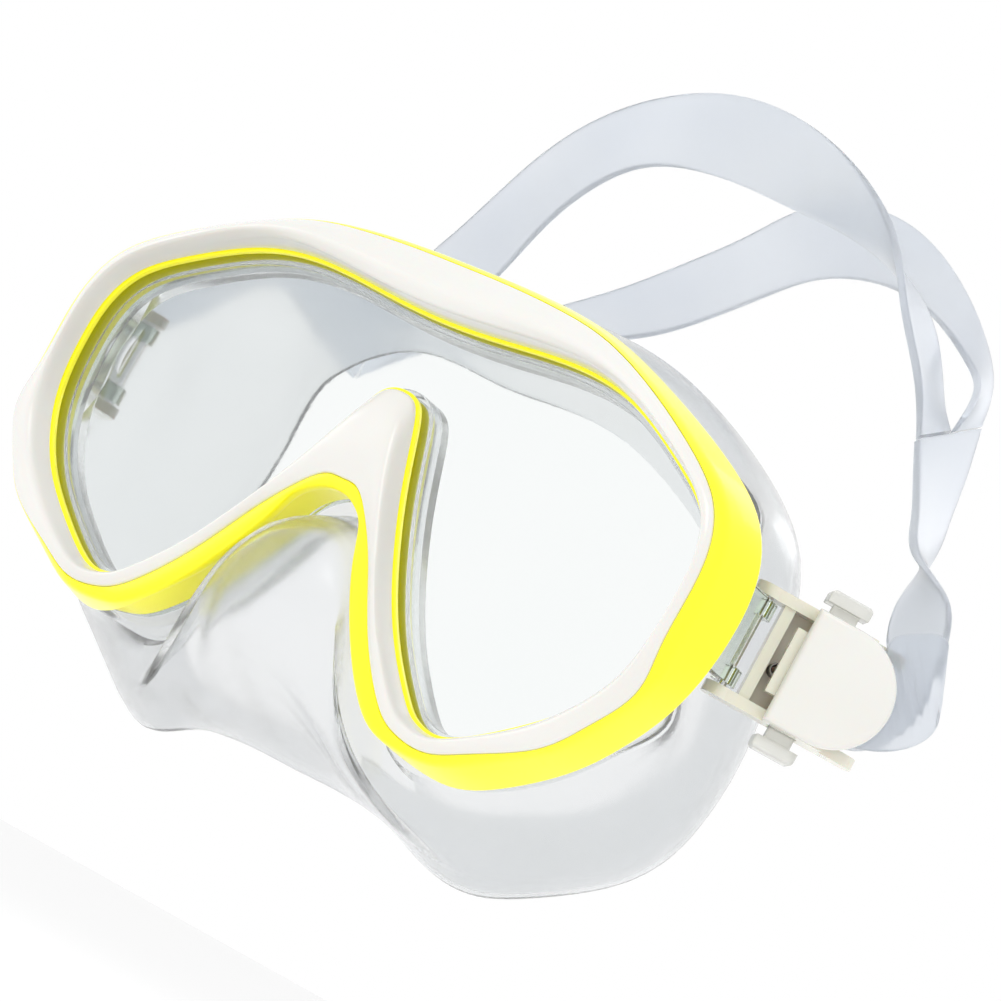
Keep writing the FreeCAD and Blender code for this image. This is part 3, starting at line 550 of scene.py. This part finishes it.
WHITE = moulded_plastic("white_plastic", (0.80, 0.79, 0.75), (0.84, 0.83, 0.80), 0.22)
CREAM = moulded_plastic("cream_plastic", (0.80, 0.78, 0.66), (0.86, 0.84, 0.73), 0.26)
# the yellow's glow is painted light that brightens the frame and the ring where they lie in shade
YELLOW = moulded_plastic("yellow_plastic_painted_glow", (0.93, 0.86, 0.0), (0.96, 0.90, 0.0), 0.3, painted_glow=0.25)
GLASS = clear_moulding("tempered_glass", (0.93, 0.955, 0.95), (0.94, 0.96, 0.955), 0.04, 1.5, 1.0)
CLEAR_PLASTIC = clear_moulding("clear_plastic", (0.80, 0.87, 0.80), (0.84, 0.90, 0.84), 0.08, 1.49, 1.0)
SILICONE = clear_moulding("clear_silicone", (0.86, 0.875, 0.885), (0.89, 0.90, 0.91), 0.2, 1.3, 0.96)
STRAP = clear_moulding("strap_silicone", (0.78, 0.82, 0.88), (0.85, 0.88, 0.92), 0.3, 1.4, 0.75)
TAB = clear_moulding("tab_plastic", (0.88, 0.88, 0.84), (0.93, 0.93, 0.90), 0.18, 1.45, 0.45)
STEEL = metal("bright_steel", (0.78, 0.78, 0.79), 0.14)
SPRING = metal("spring_steel", (0.20, 0.19, 0.18), 0.35)


def finish_as(piece, material):
    """Gives the piece its material."""
    piece.data.materials.clear()
    piece.data.materials.append(material)


# ---------------------------------------------------------------- the mask
for piece, node, material, slot in (
        (front_bezel(), "front_bezel", WHITE, "bezel_white"),
        (color_frame(), "color_frame", YELLOW, "frame_yellow"),
        (lens_retaining_ring(), "lens_retaining_ring", YELLOW, "frame_yellow"),
        (silicone_skirt(), "silicone_skirt", SILICONE, "clear_silicone"),
        (strap_band("upper_band_run", UPPER_BAND), "strap_upper_band", STRAP, "strap_silicone"),
        (strap_band("lower_band_run", LOWER_BAND), "strap_lower_band", STRAP, "strap_silicone")):
    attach(piece, "mask")
    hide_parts(node)
    finish_as(piece, material)
finish_as(softened_copy("inner_frame", 0.3), CLEAR_PLASTIC)
finish_as(frame["nodes"]["lens"], GLASS)

# ---------------------------------------------------------------- the strap's sides and the buckles
BUCKLE_FINISHES = {
    "buckle_yoke": (0.35, CREAM, "buckle_cream"), "buckle_cover": (0.2, WHITE, "bezel_white"),
    "strap_roller": (0.2, CREAM, "buckle_cream"), "upper_button": (0.3, TAB, "tab_clear"),
    "lower_button": (0.3, TAB, "tab_clear"), "latch_pawl": (0.2, CREAM, "buckle_cream"),
    "hinge_pin": (0.15, STEEL, "bright_steel"), "roller_axle": (0.15, STEEL, "bright_steel"),
    "pawl_pin": (0.15, STEEL, "bright_steel")}
for name, side, arm in (("left", 1, LEFT_ARM), ("right", -1, RIGHT_ARM)):
    finish_as(side_strap(name, side, arm), STRAP)
    for part, (width, material, slot) in BUCKLE_FINISHES.items():
        finish_as(softened_copy(name + "_" + part, width), material)
    for part in ("upper_button_spring", "lower_button_spring", "latch_spring"):
        finish_as(frame["nodes"][name + "_" + part], SPRING)


# ---------------------------------------------------------------- floor, light and camera
def studio():
    """A wide pale floor below the camera, an even white surround and three soft lights."""
    corners = [(x * FLOOR_SIZE, y * FLOOR_SIZE, FLOOR_DEPTH) for x, y in ((-1, -1), (1, -1), (1, 1), (-1, 1))]
    mesh = bpy.data.meshes.new("floor")
    mesh.from_pydata(corners, [], [(0, 1, 2, 3)])
    floor = bpy.data.objects.new("floor", mesh)
    bpy.context.scene.collection.objects.link(floor)
    material, _, _, shader = new_material("pale_floor")
    shader.inputs["Base Color"].default_value = (0.95, 0.95, 0.95, 1)
    shader.inputs["Roughness"].default_value = 0.9
    mesh.materials.append(material)
    world = bpy.data.worlds.new("studio")
    world.use_nodes = True
    world.node_tree.nodes["Background"].inputs["Color"].default_value = (1, 1, 1, 1)
    world.node_tree.nodes["Background"].inputs["Strength"].default_value = 1.0
    bpy.context.scene.world = world
    softboxes = (((0.5, -0.9, 0.9), 2.2, 0.5), ((-0.9, -0.6, 0.3), 1.0, 0.5), ((0.2, 0.9, 0.7), 1.5, 0.6))
    for where, power, width in softboxes:
        lamp = bpy.data.lights.new("softbox", "AREA")
        lamp.energy, lamp.size = power, width
        light = bpy.data.objects.new("softbox", lamp)
        light.location = where
        light.rotation_euler = (Vector((0, 0.03, -0.02)) - Vector(where)).to_track_quat("-Z", "Y").to_euler()
        bpy.context.scene.collection.objects.link(light)


def camera():
    """Looks up a little at the wearer's left front, rolled so that the object hangs tilted."""
    lens = bpy.data.cameras.new("camera")
    lens.lens, lens.sensor_width = 133.07, 36
    lens.clip_start, lens.clip_end = 0.01, 100
    eye = bpy.data.objects.new("camera", lens)
    azimuth, elevation, roll = np.radians((32.99, -7.78, 28.95))
    level_part = np.cos(elevation)
    back = Vector((np.sin(azimuth) * level_part, -np.cos(azimuth) * level_part, np.sin(elevation)))
    level = Vector((0, 0, 1)).cross(back).normalized()
    up = back.cross(level)
    right = level * float(np.cos(roll)) + up * float(np.sin(roll))
    top = back.cross(right)
    turn = Matrix((right, top, back)).transposed()
    eye.matrix_world = Matrix.Translation((0.3967, -0.5650, -0.1115)) @ turn.to_4x4()
    bpy.context.scene.collection.objects.link(eye)
    bpy.context.scene.camera = eye


studio()
camera()
bpy.context.scene.view_settings.view_transform = "Standard"
